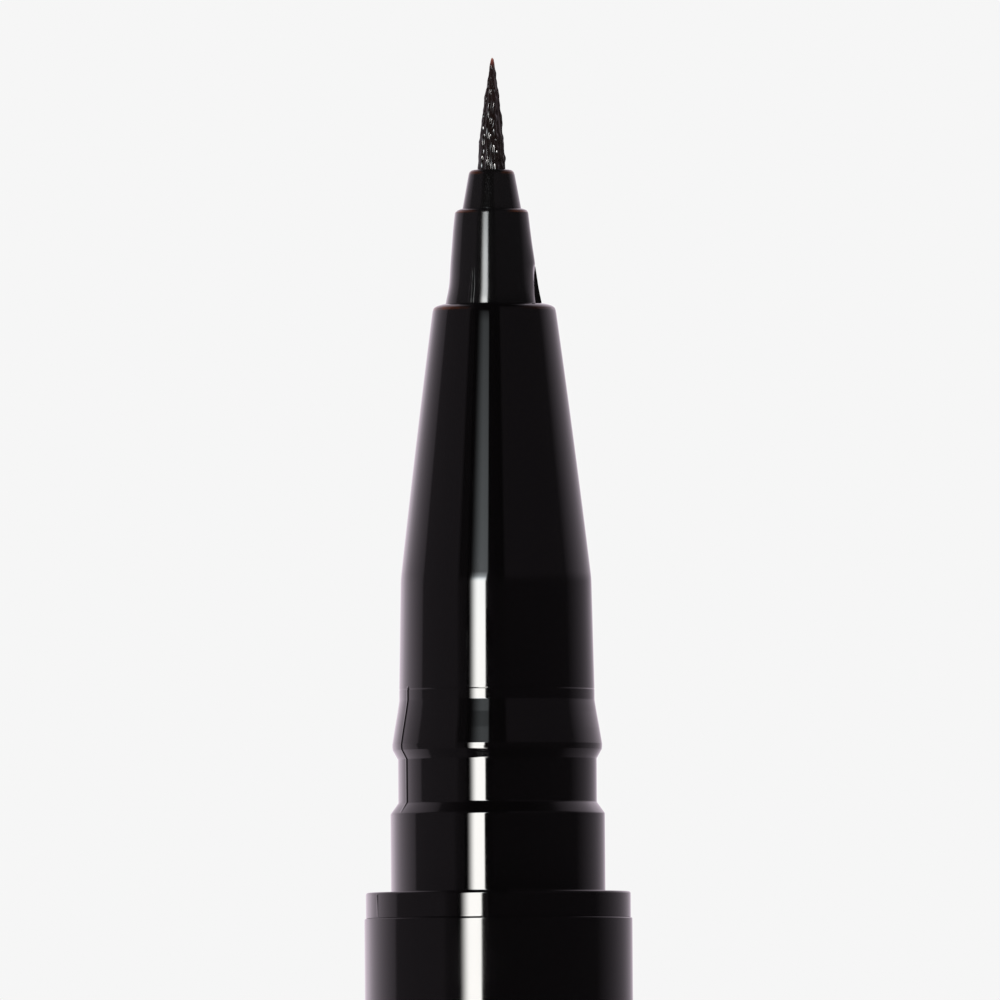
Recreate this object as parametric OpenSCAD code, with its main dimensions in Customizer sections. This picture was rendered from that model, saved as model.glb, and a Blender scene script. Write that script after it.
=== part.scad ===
// Liquid eyeliner pen with a brush tip, standing tip up on its own posted cap.
// A pigment liner: free ink in a tank, a finned collector behind the tip, a steel ball that stirs the ink.
// Millimetres, +Z along the pen towards the tip.
// The origin is the centre of the cap's crown, on which the pen stands.

/* [Barrel] */
// Outer diameter of the barrel and of the cap
barrel_d = 10.5; // [9.5:0.1:13]
// Length of the barrel tube
barrel_l = 88; // [76:1:110]
// Wall of the barrel tube
barrel_wall = 0.8; // [0.6:0.05:1]

/* [Front section] */
// How far the collar's side lies inside the barrel's side
collar_step = 0.06; // [0.02:0.01:0.2]
// Height of the collar that the cap's rim meets
collar_h = 1.02; // [0.6:0.02:2]
// Height of the straight seat above the collar
seat_h = 3.09; // [2:0.01:5]
// Height of the snap groove between the seat and the bead
groove_h = 2.58; // [1.8:0.02:4]
// Depth of the snap groove below the seat
groove_depth = 0.31; // [0.25:0.01:0.4]
// Height of the flared bead above the groove
bead_h = 1.77; // [1.2:0.01:3]
// How far the bead's crest lies inside the seat's side
bead_step = 0.09; // [0.04:0.01:0.12]
// Height of the nearly straight neck above the bead
neck_h = 4.74; // [3:0.02:8]
// How far the neck's foot lies inside the seat's side
neck_step = 0.38; // [0.33:0.01:0.5]
// Height of the tapered nose
cone_h = 10.88; // [9:0.02:16]
// Outer diameter of the nose at its mouth
mouth_d = 4.84; // [4.7:0.02:5.4]
// Length of the narrow bore behind the mouth
mouth_bore_l = 2.5; // [1.5:0.1:4]
// Wall of the front section behind the snap groove
front_wall = 0.65; // [0.5:0.05:0.8]
// Length of the plug that holds the front section in the barrel
front_plug_l = 9; // [6:0.5:14]

/* [Nozzle] */
// Height of the nozzle that shows above the mouth
nozzle_h = 3.72; // [2.6:0.02:6]
// Diameter of the nozzle where it leaves the mouth
nozzle_base_d = 3.6; // [3.5:0.02:3.8]
// Diameter of the nozzle at its shoulder
nozzle_top_d = 2.88; // [2.7:0.02:3.1]
// Air gap between the nozzle and the mouth's bore
vent_gap = 0.16; // [0.1:0.01:0.2]
// Number of centring fins round the nozzle's foot
fin_n = 3; // [3:1:6]
// Thickness of a centring fin
fin_t = 0.22; // [0.15:0.01:0.3]
// Height of a fin above the mouth
fin_h = 1.4; // [0.8:0.05:1.8]
// Length of the nozzle's tail behind its flange
nozzle_tail_l = 6; // [4:0.5:9]

/* [Brush] */
// Height of the ferrule that shows above the nozzle
ferrule_h = 1.53; // [1:0.01:3]
// Diameter of the ferrule where it leaves the nozzle
ferrule_base_d = 2.3; // [2.2:0.02:2.34]
// Diameter of the ferrule at its lip
ferrule_top_d = 1.78; // [1.7:0.02:2]
// Length of brush that shows above the ferrule
brush_l = 4.41; // [3:0.01:7]
// Diameter of the brush at the ferrule's lip
brush_d = 1.16; // [1:0.02:1.2]
// Number of bristles
bristle_n = 300; // [300:10:400]
// Diameter of the fibre rod that feeds the brush
core_d = 1.5; // [1.3:0.05:1.55]

/* [Ink feed] */
// Number of fins on the collector
comb_n = 20; // [12:1:24]
// Thickness of a collector fin
comb_t = 0.4; // [0.3:0.05:0.5]
// Distance from one collector fin to the next
comb_pitch = 0.9; // [0.75:0.05:1]
// Wall of the ink tank
tank_wall = 0.6; // [0.4:0.05:0.8]
// Diameter of the steel ball that stirs the ink
ball_d = 4; // [3:0.1:5]

/* [Tail] */
// Length of the tail plug inside the barrel
tail_plug_l = 8; // [5:0.5:12]
// Length of the spigot that the cap is posted on
spigot_l = 8; // [6:0.5:11]
// Height of the tail plug's flange
tail_flange_h = 0.8; // [0.5:0.1:1.5]

/* [Cap] */
// Wall of the cap's outer shell
shell_wall = 0.5; // [0.4:0.02:0.6]
// Wall of the liner inside the shell
liner_wall = 0.48; // [0.4:0.02:0.6]
// Thickness of the cap's closed end
crown_t = 1.6; // [0.8:0.1:2.4]
// Free bore of the sliding inner cap
inner_cap_bore_d = 4.1; // [3.9:0.05:4.3]
// Wall of the inner cap
inner_cap_wall = 0.55; // [0.4:0.05:0.65]
// How far the inner cap can be pushed back
inner_cap_travel = 2; // [1.4:0.1:3]
// Wire diameter of the inner cap's spring
wire_d = 0.34; // [0.25:0.01:0.4]
// Number of turns in the inner cap's spring
spring_n = 7; // [5:1:9]

/* [Hidden] */
$fn = 96;

// Clearances and overruns
fit_gap = 0.02;      // round pieces that are pressed or glued together
slip_gap = 0.05;     // round pieces that slide, and flat faces that meet
cap_gap = 0.1;       // between the posted cap's rim and the tail flange
overrun = 0.5;       // how far a cut runs past what it cuts
arc_steps = 4;       // chords in a rounded corner
nose_steps = 8;      // chords along the nose

// Radii that the barrel sets
barrel_r = barrel_d / 2;
barrel_bore_r = barrel_r - barrel_wall;
plug_r = barrel_bore_r - fit_gap;
collar_r = barrel_r - collar_step;
tank_bore_r = plug_r - tank_wall;

// Radii that the cap's walls set, from the outside in
liner_r = barrel_r - shell_wall - fit_gap;
cap_bore_r = liner_r - liner_wall;
seat_r = cap_bore_r - slip_gap;
groove_r = seat_r - groove_depth;
bead_r = seat_r - bead_step;
neck_r = seat_r - neck_step;
rib_drop = 0.15;                      // how far the liner's snap rib stands into its bore
rib_r = seat_r - rib_drop;
spigot_r = rib_r - slip_gap;

// Front section, heights above the top of the barrel
groove_ramp_h = 0.42;                 // ramp from the seat into the groove
bead_ramp_h = 0.36;                   // ramp from the groove up to the bead
neck_draft = 0.085;                   // how much the neck narrows towards the nose
nose_bulge = 0.025;                   // how far the nose swells past a straight taper
collar_round = 0.12;
bead_round = 0.08;
mouth_round = 0.16;
seat_z = collar_h + seat_h;
bead_z = seat_z + groove_h;
neck_z = bead_z + bead_h;
nose_z = neck_z + neck_h;
mouth_z = nose_z + cone_h;
mouth_r = mouth_d / 2;
nose_r = neck_r - neck_draft;
front_bore_r = groove_r - front_wall;

// Nozzle, heights above the top of the barrel
nozzle_base_r = nozzle_base_d / 2;
nozzle_top_r = nozzle_top_d / 2;
nozzle_top_z = mouth_z + nozzle_h;
nozzle_round = 0.12;
// Heights up the nozzle, as shares of its visible height, and how much of its taper is left there
nozzle_levels_share = [0, 0.14, 0.2, 0.27, 0.32, 0.46, 0.6, 0.72, 0.84];
nozzle_widths_share = [1, 0.82, 0.72, 0.57, 0.53, 0.52, 0.44, 0.3, 0.15];
mouth_bore_r = nozzle_base_r + vent_gap;
fin_r = mouth_bore_r - fit_gap;
flange_lip = 0.28;                    // how far the nozzle's flange stands past the mouth's bore
flange_h = 1.2;
flange_notch_w = 0.6;
nozzle_flange_r = mouth_bore_r + flange_lip;
flange_top_z = mouth_z - mouth_bore_l - slip_gap;
flange_z = flange_top_z - flange_h;
nozzle_tail_z = flange_z - nozzle_tail_l;
fin_angle = 1;                        // direction of the first fin, seen from the tip

// Ferrule and bristles
ferrule_r = ferrule_base_d / 2;
ferrule_lip_r = ferrule_top_d / 2;
ferrule_round = 0.07;
ferrule_lip_z = nozzle_top_z + ferrule_h;
ferrule_land_l = 2.2;                 // length of ferrule held in the nozzle's top bore
ferrule_flange_h = 0.9;
ferrule_flange_lip = 0.15;
ferrule_flange_r = ferrule_r + ferrule_flange_lip;
ferrule_flange_z = nozzle_top_z - ferrule_land_l;
nozzle_bore_r = ferrule_flange_r + fit_gap;
core_r = core_d / 2;
core_bore_r = core_r + slip_gap;
brush_r = brush_d / 2;
brush_bore_r = brush_r + fit_gap;
root_depth = 0.3;                     // how far the fused root's face lies below the ferrule's lip
root_l = 2.4;
root_flange_h = 0.5;
root_top_z = ferrule_lip_z - root_depth;
root_z = root_top_z - root_l;
root_bite = 0.1;                      // how deep the bristles are sunk in the fused root
bristle_margin = 0.03;                // bare edge of the root outside the outermost bristles
bristle_sides = 3;
bristle_fill_share = 0.72;            // bristle radius as a share of half the distance to the next
bristle_tip_share = 0.3;              // how thick a bristle still is at its tip
golden_angle = 137.508;
// Heights along the brush, as shares of its length, and how far the bristles have drawn together there
draw_levels_share = [0, 0.4, 0.72, 0.9, 1];
draw_widths_share = [1, 0.83, 0.63, 0.44, 0.24];
brush_taper = 3.1;                    // exponent: how soon the outer bristles end

// Collector, heights above the top of the barrel
collector_spigot_l = 3.6;             // length inside the nozzle's tail
collector_spigot_r = nozzle_bore_r - slip_gap;
collector_neck_z = nozzle_tail_z - slip_gap;
collector_neck_wall = 1.5;
collector_neck_r = core_bore_r + collector_neck_wall;
collector_stem_wall = 0.7;
collector_stem_r = core_bore_r + collector_stem_wall;
clamp_h = 0.8;
clamp_top_z = -front_plug_l - slip_gap;
clamp_z = clamp_top_z - clamp_h;
clamp_notch_w = 1.2;
clamp_notch_n = 4;
comb_gap = 0.25;                      // between the fins and the tank's bore
comb_r = tank_bore_r - comb_gap;
comb_top_z = clamp_z - comb_pitch;
comb_z = comb_top_z - comb_pitch * comb_n;
air_slot_w = 0.6;
feed_slit_w = 0.2;                    // slit from the fibre rod's bore, through which ink reaches the fins
seal_body_h = 3.6;
seal_body_z = comb_z - seal_body_h;
seal_body_r = tank_bore_r - fit_gap;
seal_groove_h = 1.1;
seal_wire_d = 0.9;
seal_squeeze_gap = 0.01;
seal_wire_r = seal_wire_d / 2;
seal_ring_r = tank_bore_r - seal_squeeze_gap - seal_wire_r;
seal_groove_r = seal_ring_r - seal_wire_r - seal_squeeze_gap;
seal_mid_z = seal_body_z + seal_body_h / 2;
collector_tail_l = 1;
collector_z = seal_body_z - collector_tail_l;
core_dip = 1;                         // how far the fibre rod hangs into the ink
core_z = collector_z - core_dip;
core_top_z = root_z - root_flange_h - slip_gap;

// Tank, stopper, ball and tail, heights above the top of the barrel
stopper_l = 4;
stopper_flange_h = 1;
tank_top_z = clamp_z - slip_gap;
tail_top_z = tail_plug_l - barrel_l;
stopper_flange_z = tail_top_z + slip_gap;
tank_z = stopper_flange_z + stopper_flange_h + slip_gap;
stopper_top_z = tank_z + stopper_l;
stopper_r = tank_bore_r - fit_gap;
ball_r = ball_d / 2;
ball_z = stopper_top_z + fit_gap + ball_r;
barrel_chamfer = 0.05;
tail_flange_top_z = -barrel_l - slip_gap;
tail_flange_z = tail_flange_top_z - tail_flange_h;
spigot_z = tail_flange_z - spigot_l;
spigot_round = 0.5;
tail_floor_t = 1.2;
tail_wall = 1;

// Cap, heights above the crown
crown_round = 0.7;
rim_chamfer = 0.12;
liner_inset = 0.15;                   // how far the liner's rim lies behind the shell's rim
seal_press = 1.2;                     // how far the nose pushes the inner cap back when the cap is on
tip_room = 2;                         // free length past the brush inside the inner cap
inner_cap_end_t = 0.8;
crown_room = 0.1;                     // left under the inner cap when it is pushed right back
inner_cap_r = inner_cap_bore_d / 2 + inner_cap_wall;
inner_cap_depth = nozzle_h + ferrule_h + brush_l + tip_room;
inner_cap_l = inner_cap_depth + inner_cap_end_t;
inner_cap_z = crown_t + crown_room + inner_cap_travel;
inner_cap_rim_z = inner_cap_z + inner_cap_l;
cap_l = inner_cap_rim_z + mouth_z - collar_h - seal_press;
web_drop = 1;                         // from the inner cap's rim down to the web that holds it in
web_t = 1;
web_top_z = inner_cap_rim_z - web_drop;
web_z = web_top_z - web_t;
web_bore_r = inner_cap_r + slip_gap;
cap_flange_lip = 0.6;
cap_flange_h = 0.8;
cap_flange_r = web_bore_r + cap_flange_lip;
cap_flange_top_z = web_z - slip_gap;
cap_flange_z = cap_flange_top_z - cap_flange_h;
pocket_r = cap_flange_r + 2 * slip_gap;
liner_z = crown_t + slip_gap;
liner_top_z = cap_l - liner_inset;
rib_h = 0.8;
rib_z = cap_l - seat_h - groove_h / 2;
lead_in = 0.25;

// Spring round the inner cap's body
spring_r = (inner_cap_r + pocket_r) / 2;
spring_z = crown_t + slip_gap;
spring_top_z = cap_flange_z - slip_gap;
spring_l = spring_top_z - spring_z - wire_d;
spring_rings = 12;
spring_sides = 6;

// Height of the barrel's top above the crown that the pen stands on
barrel_top_z = cap_l + cap_gap - tail_flange_z;

gloss_black = [0.03, 0.03, 0.033];
satin_black = [0.06, 0.06, 0.064];
ink_black = [0.02, 0.018, 0.018];
natural_resin = [0.86, 0.87, 0.85];
fibre_white = [0.9, 0.89, 0.86];
seal_grey = [0.35, 0.36, 0.37];
steel_grey = [0.72, 0.73, 0.75];

// Points on an arc in the profile plane, from one angle to another
function arc(centre, radius, from, to) =
    [for (i = [0:arc_steps]) let (a = from + (to - from) * i / arc_steps)
        centre + radius * [cos(a), sin(a)]];

// Turns a profile about the pen's axis, at its height above the top of the barrel
module turned(points) {
    translate([0, 0, barrel_top_z]) rotate_extrude() polygon(points);
}

// A plain tube with its foot at height z above the top of the barrel
module tube(outer_r, bore_r, z, height) {
    translate([0, 0, barrel_top_z + z]) difference() {
        cylinder(r = outer_r, h = height);
        translate([0, 0, -overrun]) cylinder(r = bore_r, h = height + 2 * overrun);
    }
}

// A notch in a flange, cut outwards from a given radius
module notch(angle, width, inner_r, z, height) {
    rotate([0, 0, angle]) translate([inner_r, -width / 2, barrel_top_z + z])
        cube([barrel_r, width, height]);
}

// Radius of the nose at a share of the way from the neck to the mouth
function nose_at(share) =
    nose_r + (mouth_r - nose_r) * share + 4 * nose_bulge * share * (1 - share);

module front_section() {
    pocket_foot_r = nozzle_flange_r + fit_gap;
    outside = concat(
        [[front_bore_r, -front_plug_l], [plug_r - fit_gap, -front_plug_l],
            [plug_r, lead_in - front_plug_l], [plug_r, 0], [collar_r, 0]],
        arc([collar_r - collar_round, collar_h - collar_round], collar_round, 0, 90),
        [[seat_r, collar_h], [seat_r, seat_z - bead_round],
            [seat_r - bead_round / 3, seat_z], [groove_r, seat_z + groove_ramp_h],
            [groove_r, bead_z - bead_ramp_h]],
        arc([bead_r - bead_round, bead_z + bead_round / 2], bead_round, -45, 9),
        [[neck_r + bead_round / 3, neck_z - bead_round], [neck_r, neck_z + bead_round],
            [nose_r, nose_z]],
        [for (i = [1:nose_steps - 1])
            [nose_at(i / nose_steps), nose_z + cone_h * i / nose_steps]],
        arc([mouth_r - mouth_round, mouth_z - mouth_round], mouth_round, 7, 90));
    inside = [[mouth_bore_r, mouth_z], [mouth_bore_r, mouth_z - mouth_bore_l],
        [pocket_foot_r, mouth_z - mouth_bore_l], [pocket_foot_r, flange_z],
        [front_bore_r, nose_z]];
    color(gloss_black) turned(concat(outside, inside));
}

// Radius of the nozzle at a share of its visible height
function nozzle_at(share) = nozzle_top_r + (nozzle_base_r - nozzle_top_r)
    * lookup(share, [for (i = [0:len(nozzle_levels_share) - 1])
        [nozzle_levels_share[i], nozzle_widths_share[i]]]);

module nozzle() {
    side = [for (share = nozzle_levels_share) [nozzle_at(share), mouth_z + nozzle_h * share]];
    top_bore_r = ferrule_r + fit_gap;
    profile = concat(
        [[nozzle_bore_r, nozzle_tail_z], [nozzle_base_r, nozzle_tail_z],
            [nozzle_base_r, flange_z], [nozzle_flange_r, flange_z],
            [nozzle_flange_r, flange_top_z], [nozzle_base_r, flange_top_z]],
        side,
        arc([nozzle_top_r - nozzle_round, nozzle_top_z - nozzle_round], nozzle_round, 5, 90),
        [[top_bore_r, nozzle_top_z], [top_bore_r, ferrule_flange_z + slip_gap],
            [nozzle_bore_r, ferrule_flange_z + slip_gap]]);
    fin_root_r = nozzle_bore_r + (nozzle_base_r - nozzle_bore_r) / 2;
    color(satin_black) {
        difference() {
            turned(profile);
            for (i = [0:fin_n - 1])
                notch(fin_angle + (i + 0.5) * 360 / fin_n, flange_notch_w, nozzle_base_r,
                    flange_z - overrun, flange_h + 2 * overrun);
        }
        for (i = [0:fin_n - 1])
            rotate([0, 0, fin_angle + i * 360 / fin_n])
                translate([0, 0, barrel_top_z])
                rotate([90, 0, 0]) linear_extrude(fin_t, center = true)
                polygon([[fin_root_r, flange_z + flange_h / 2], [fin_r, flange_z + flange_h / 2],
                    [fin_r, mouth_z], [nozzle_at(fin_h / nozzle_h), mouth_z + fin_h],
                    [fin_root_r, mouth_z + fin_h]]);
    }
}

module brush_ferrule() {
    foot_z = ferrule_flange_z - ferrule_flange_h;
    profile = concat(
        [[core_bore_r, foot_z], [ferrule_flange_r, foot_z],
            [ferrule_flange_r, ferrule_flange_z], [ferrule_r, ferrule_flange_z],
            [ferrule_r, nozzle_top_z]],
        arc([ferrule_lip_r - ferrule_round, ferrule_lip_z - ferrule_round], ferrule_round, 10, 90),
        [[brush_bore_r, ferrule_lip_z], [brush_bore_r, root_z + fit_gap],
            [core_bore_r, root_z + fit_gap]]);
    color(satin_black) turned(profile);
}

// How close together the bristles are drawn at a share of the brush's length, 1 at the ferrule
function drawn(share) = lookup(share, [for (i = [0:len(draw_levels_share) - 1])
    [draw_levels_share[i], draw_widths_share[i]]]);

// Thickness of a bristle there: it follows the drawing together and thins towards its own end
function thinned(share, end) = drawn(share) * (1 - (1 - bristle_tip_share) * share / end);

// One bristle: a three-sided tapering hair that starts inside the root and ends at its own height
module bristle(spot, angle, radius, end) {
    levels = concat([-(root_depth + root_bite) / brush_l],
        [for (level = draw_levels_share) if (level < end) level], [end]);
    rings = [for (level = levels) let (share = max(level, 0))
        [for (k = [0:bristle_sides - 1]) let (a = angle + 360 * k / bristle_sides)
            [spot.x * drawn(share) + radius * thinned(share, end) * cos(a),
                spot.y * drawn(share) + radius * thinned(share, end) * sin(a),
                ferrule_lip_z + brush_l * level]]];
    last = len(levels) - 1;
    polyhedron(
        points = [for (ring = rings) each ring],
        faces = concat(
            [[for (k = [0:bristle_sides - 1]) k]],
            [for (i = [0:last - 1], k = [0:bristle_sides - 1])
                let (a = i * bristle_sides + k, b = i * bristle_sides + (k + 1) % bristle_sides)
                each [[a, a + bristle_sides, b], [b, a + bristle_sides, b + bristle_sides]]],
            [[for (k = [bristle_sides - 1:-1:0]) last * bristle_sides + k]]));
}

// The bristles stand in a sunflower pattern, so that none touches the next, and the outer ones are shorter
module bristle_bundle() {
    spread_r = brush_r - bristle_margin;
    spacing = spread_r * sqrt(PI / bristle_n);
    color(ink_black) translate([0, 0, barrel_top_z]) {
        translate([0, 0, root_z]) cylinder(r = brush_r, h = root_l, $fn = 48);
        translate([0, 0, root_z - root_flange_h]) cylinder(r = core_r, h = root_flange_h, $fn = 48);
        for (i = [0:bristle_n - 1])
            let (place = sqrt((i + 0.5) / bristle_n), turn = golden_angle * i)
            bristle(spread_r * place * [cos(turn), sin(turn)], turn,
                bristle_fill_share * spacing / 2, max(1 - pow(place, brush_taper), root_depth / brush_l));
    }
}

module relay_core() {
    color(fibre_white) translate([0, 0, barrel_top_z + core_z])
        cylinder(r = core_r, h = core_top_z - core_z);
}

module collector() {
    color(natural_resin) difference() {
        union() {
            tube(collector_spigot_r, core_bore_r, collector_neck_z, collector_spigot_l);
            tube(collector_neck_r, core_bore_r, clamp_z, collector_neck_z - clamp_z);
            tube(plug_r, core_bore_r, clamp_z, clamp_h);
            tube(collector_stem_r, core_bore_r, collector_z, clamp_z - collector_z);
            for (i = [0:comb_n - 1])
                tube(comb_r, core_bore_r, comb_top_z - comb_pitch * i - comb_t, comb_t);
            tube(seal_body_r, core_bore_r, seal_body_z, seal_body_h);
        }
        // Groove for the seal ring
        tube(barrel_r, seal_groove_r, seal_mid_z - seal_groove_h / 2, seal_groove_h);
        // Air slot down one side of the fins, ink slit down the other, and air notches in the clamp flange
        notch(90, air_slot_w, collector_stem_r, comb_z, comb_top_z - comb_z);
        rotate([0, 0, -90]) translate([0, -feed_slit_w / 2, barrel_top_z + collector_z - overrun])
            cube([collector_stem_r + slip_gap, feed_slit_w, comb_top_z - collector_z + overrun]);
        for (i = [0:clamp_notch_n - 1])
            notch((i + 0.5) * 360 / clamp_notch_n, clamp_notch_w, comb_r - clamp_notch_w / 2,
                clamp_z - overrun / 2, clamp_h + overrun);
    }
}

module collector_seal() {
    color(seal_grey) translate([0, 0, barrel_top_z + seal_mid_z])
        rotate_extrude() translate([seal_ring_r, 0]) circle(r = seal_wire_r, $fn = 32);
}

module barrel() {
    color(gloss_black) turned([
        [barrel_bore_r, -barrel_l], [barrel_r - barrel_chamfer, -barrel_l],
        [barrel_r, barrel_chamfer - barrel_l], [barrel_r, -barrel_chamfer],
        [barrel_r - barrel_chamfer, 0], [barrel_bore_r, 0]]);
}

module ink_tank() {
    color(natural_resin) tube(plug_r, tank_bore_r, tank_z, tank_top_z - tank_z);
}

module tank_stopper() {
    color(natural_resin) turned([
        [0, stopper_flange_z], [plug_r, stopper_flange_z],
        [plug_r, stopper_flange_z + stopper_flange_h], [stopper_r, stopper_flange_z + stopper_flange_h],
        [stopper_r, stopper_top_z - lead_in], [stopper_r - lead_in, stopper_top_z],
        [0, stopper_top_z]]);
}

module tail_plug() {
    core_hole_r = spigot_r - tail_wall;
    color(gloss_black) turned(concat(
        [[0, spigot_z]],
        arc([spigot_r - spigot_round, spigot_z + spigot_round], spigot_round, -90, 0),
        [[spigot_r, tail_flange_z], [collar_r - barrel_chamfer, tail_flange_z],
            [collar_r, tail_flange_z + barrel_chamfer], [collar_r, tail_flange_top_z],
            [plug_r, tail_flange_top_z], [plug_r, tail_top_z],
            [core_hole_r, tail_top_z], [core_hole_r, spigot_z + tail_floor_t],
            [0, spigot_z + tail_floor_t]]));
}

module mixing_ball() {
    color(steel_grey) translate([0, 0, barrel_top_z + ball_z]) sphere(r = ball_r);
}

module cap_shell() {
    color(gloss_black) rotate_extrude() polygon(concat(
        [[0, 0]],
        arc([barrel_r - crown_round, crown_round], crown_round, -90, 0),
        [[barrel_r, cap_l - rim_chamfer], [barrel_r - rim_chamfer, cap_l],
            [barrel_r - shell_wall, cap_l], [barrel_r - shell_wall, crown_t], [0, crown_t]]));
}

module cap_liner() {
    color(satin_black) rotate_extrude() polygon([
        [pocket_r, liner_z], [liner_r, liner_z], [liner_r, liner_top_z],
        [cap_bore_r + lead_in, liner_top_z], [cap_bore_r, liner_top_z - lead_in],
        [cap_bore_r, rib_z + rib_h / 2], [rib_r, rib_z + rib_h / 4],
        [rib_r, rib_z - rib_h / 4], [cap_bore_r, rib_z - rib_h / 2],
        [cap_bore_r, web_top_z], [web_bore_r, web_top_z],
        [web_bore_r, web_z], [pocket_r, web_z]]);
}

module inner_cap() {
    bore_r = inner_cap_bore_d / 2;
    color(natural_resin) rotate_extrude() polygon([
        [0, inner_cap_z], [inner_cap_r - lead_in, inner_cap_z],
        [inner_cap_r, inner_cap_z + lead_in], [inner_cap_r, cap_flange_z],
        [cap_flange_r, cap_flange_z], [cap_flange_r, cap_flange_top_z],
        [inner_cap_r, cap_flange_top_z], [inner_cap_r, inner_cap_rim_z],
        [bore_r, inner_cap_rim_z], [bore_r, inner_cap_z + inner_cap_end_t],
        [0, inner_cap_z + inner_cap_end_t]]);
}

// One unbroken wire, swept along a helix with its ends cut square
module inner_cap_spring() {
    steps = spring_n * spring_rings;
    wire_r = wire_d / 2;
    lean = atan(spring_l / (2 * PI * spring_n * spring_r));
    centres = [for (i = [0:steps]) let (a = 360 * i / spring_rings)
        [spring_r * cos(a), spring_r * sin(a), spring_z + wire_r + spring_l * i / steps]];
    points = [for (i = [0:steps], k = [0:spring_sides - 1])
        let (a = 360 * i / spring_rings, b = 360 * k / spring_sides)
        centres[i] + wire_r * (cos(b) * [cos(a), sin(a), 0]
            + sin(b) * [sin(lean) * sin(a), -sin(lean) * cos(a), cos(lean)])];
    // The wire's least gap to its next turn
    echo(least_gap = min([for (i = [0:steps - spring_rings], j = [i + spring_rings - 2:steps])
        norm(centres[i] - centres[j])]) - wire_d);
    sides = [for (i = [0:steps - 1], k = [0:spring_sides - 1])
        let (a = i * spring_sides + k, b = i * spring_sides + (k + 1) % spring_sides)
        each [[a, b, a + spring_sides], [b, b + spring_sides, a + spring_sides]]];
    ends = [[for (k = [spring_sides - 1:-1:0]) k],
        [for (k = [0:spring_sides - 1]) steps * spring_sides + k]];
    color(steel_grey) polyhedron(points = points, faces = concat(sides, ends));
}

bristle_bundle();
brush_ferrule();
nozzle();
relay_core();
front_section();
collector();
collector_seal();
barrel();
ink_tank();
tank_stopper();
tail_plug();
mixing_ball();
cap_shell();
cap_liner();
inner_cap();
inner_cap_spring();
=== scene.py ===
import math
import random

import bpy
import numpy as np
from mathutils import Matrix, Vector


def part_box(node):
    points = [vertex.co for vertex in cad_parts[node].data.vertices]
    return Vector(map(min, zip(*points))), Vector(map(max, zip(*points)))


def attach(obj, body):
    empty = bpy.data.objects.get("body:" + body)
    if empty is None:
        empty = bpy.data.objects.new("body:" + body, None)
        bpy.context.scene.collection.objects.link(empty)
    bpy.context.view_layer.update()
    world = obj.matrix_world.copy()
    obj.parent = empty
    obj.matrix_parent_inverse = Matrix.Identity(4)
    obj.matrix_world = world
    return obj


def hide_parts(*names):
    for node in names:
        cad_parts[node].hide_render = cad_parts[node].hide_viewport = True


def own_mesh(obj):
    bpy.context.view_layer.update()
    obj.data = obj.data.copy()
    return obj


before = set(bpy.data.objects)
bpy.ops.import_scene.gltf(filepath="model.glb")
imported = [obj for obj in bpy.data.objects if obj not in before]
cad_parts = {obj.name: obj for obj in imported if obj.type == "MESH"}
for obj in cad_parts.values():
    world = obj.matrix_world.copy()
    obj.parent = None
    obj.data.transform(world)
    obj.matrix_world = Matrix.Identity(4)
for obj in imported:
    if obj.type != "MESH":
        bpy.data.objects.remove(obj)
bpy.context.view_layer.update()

mm = 0.001
fullTurn = 2 * math.pi
axisTouch = 1e-9   # a smaller radius lies on the axis
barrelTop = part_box("barrel")[1].z / mm   # heights on the writing end count up from here, in millimetres
print("frame loaded, barrel top at", round(barrelTop, 2), "mm")


# How far an angle lies from a place round the pen, from minus to plus half a turn
def angleFrom(angle, place):
    return (angle - place + math.pi) % fullTurn - math.pi


# Profiles and meshes. A profile is a list of (radius, height, rounding) in millimetres, up the outside first.
# Every corner becomes a small arc with a ring held on each side, so that straight walls reflect straight.
softening = {"stepAngle": 9, "straight": 3.138, "edgeShare": 0.42, "hold": 0.03, "holdShare": 0.1}


def softened(corners):
    line = []
    count = len(corners)
    for i, (radius, height, rounding) in enumerate(corners):
        at = Vector((radius, height))
        toBefore = Vector(corners[i - 1][:2]) - at
        toAfter = Vector(corners[(i + 1) % count][:2]) - at
        opening = math.pi if radius < axisTouch else toBefore.angle(toAfter)
        if rounding == 0 or opening > softening["straight"]:
            line.append(at)
            continue
        shorter = min(toBefore.length, toAfter.length)
        reach = min(rounding / math.tan(opening / 2), softening["edgeShare"] * shorter)
        arcRadius = reach * math.tan(opening / 2)
        hold = min(softening["hold"], softening["holdShare"] * shorter)
        toBefore.normalize()
        toAfter.normalize()
        centre = at + (toBefore + toAfter).normalized() * (arcRadius / math.sin(opening / 2))
        first = at + toBefore * reach - centre
        last = at + toAfter * reach - centre
        start = math.atan2(first.y, first.x)
        sweep = angleFrom(math.atan2(last.y, last.x), start)
        steps = max(2, math.ceil(abs(math.degrees(sweep)) / softening["stepAngle"]))
        line.append(at + toBefore * (reach + hold))
        for k in range(steps + 1):
            a = start + sweep * k / steps
            line.append(centre + arcRadius * Vector((math.cos(a), math.sin(a))))
        line.append(at + toAfter * (reach + hold))
    return [(p.x, p.y) for p in line]


# Adds points to a profile, so that none stands more than a step above the last
def closer(line, step):
    dense = [line[0]]
    for (r0, z0, _), (r1, z1, soft) in zip(line, line[1:]):
        count = max(1, math.ceil(abs(z1 - z0) / step))
        dense.extend((r0 + (r1 - r0) * i / count, z0 + (z1 - z0) * i / count, 0) for i in range(1, count))
        dense.append((r1, z1, soft))
    return dense


def meshPiece(name, verts, faces, finish):
    mesh = bpy.data.meshes.new(name)
    mesh.from_pydata(verts, [], faces)
    mesh.validate()
    mesh.polygons.foreach_set("use_smooth", [True] * len(mesh.polygons))
    mesh.materials.append(finish)
    piece = bpy.data.objects.new(name, mesh)
    bpy.context.scene.collection.objects.link(piece)
    return piece


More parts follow.
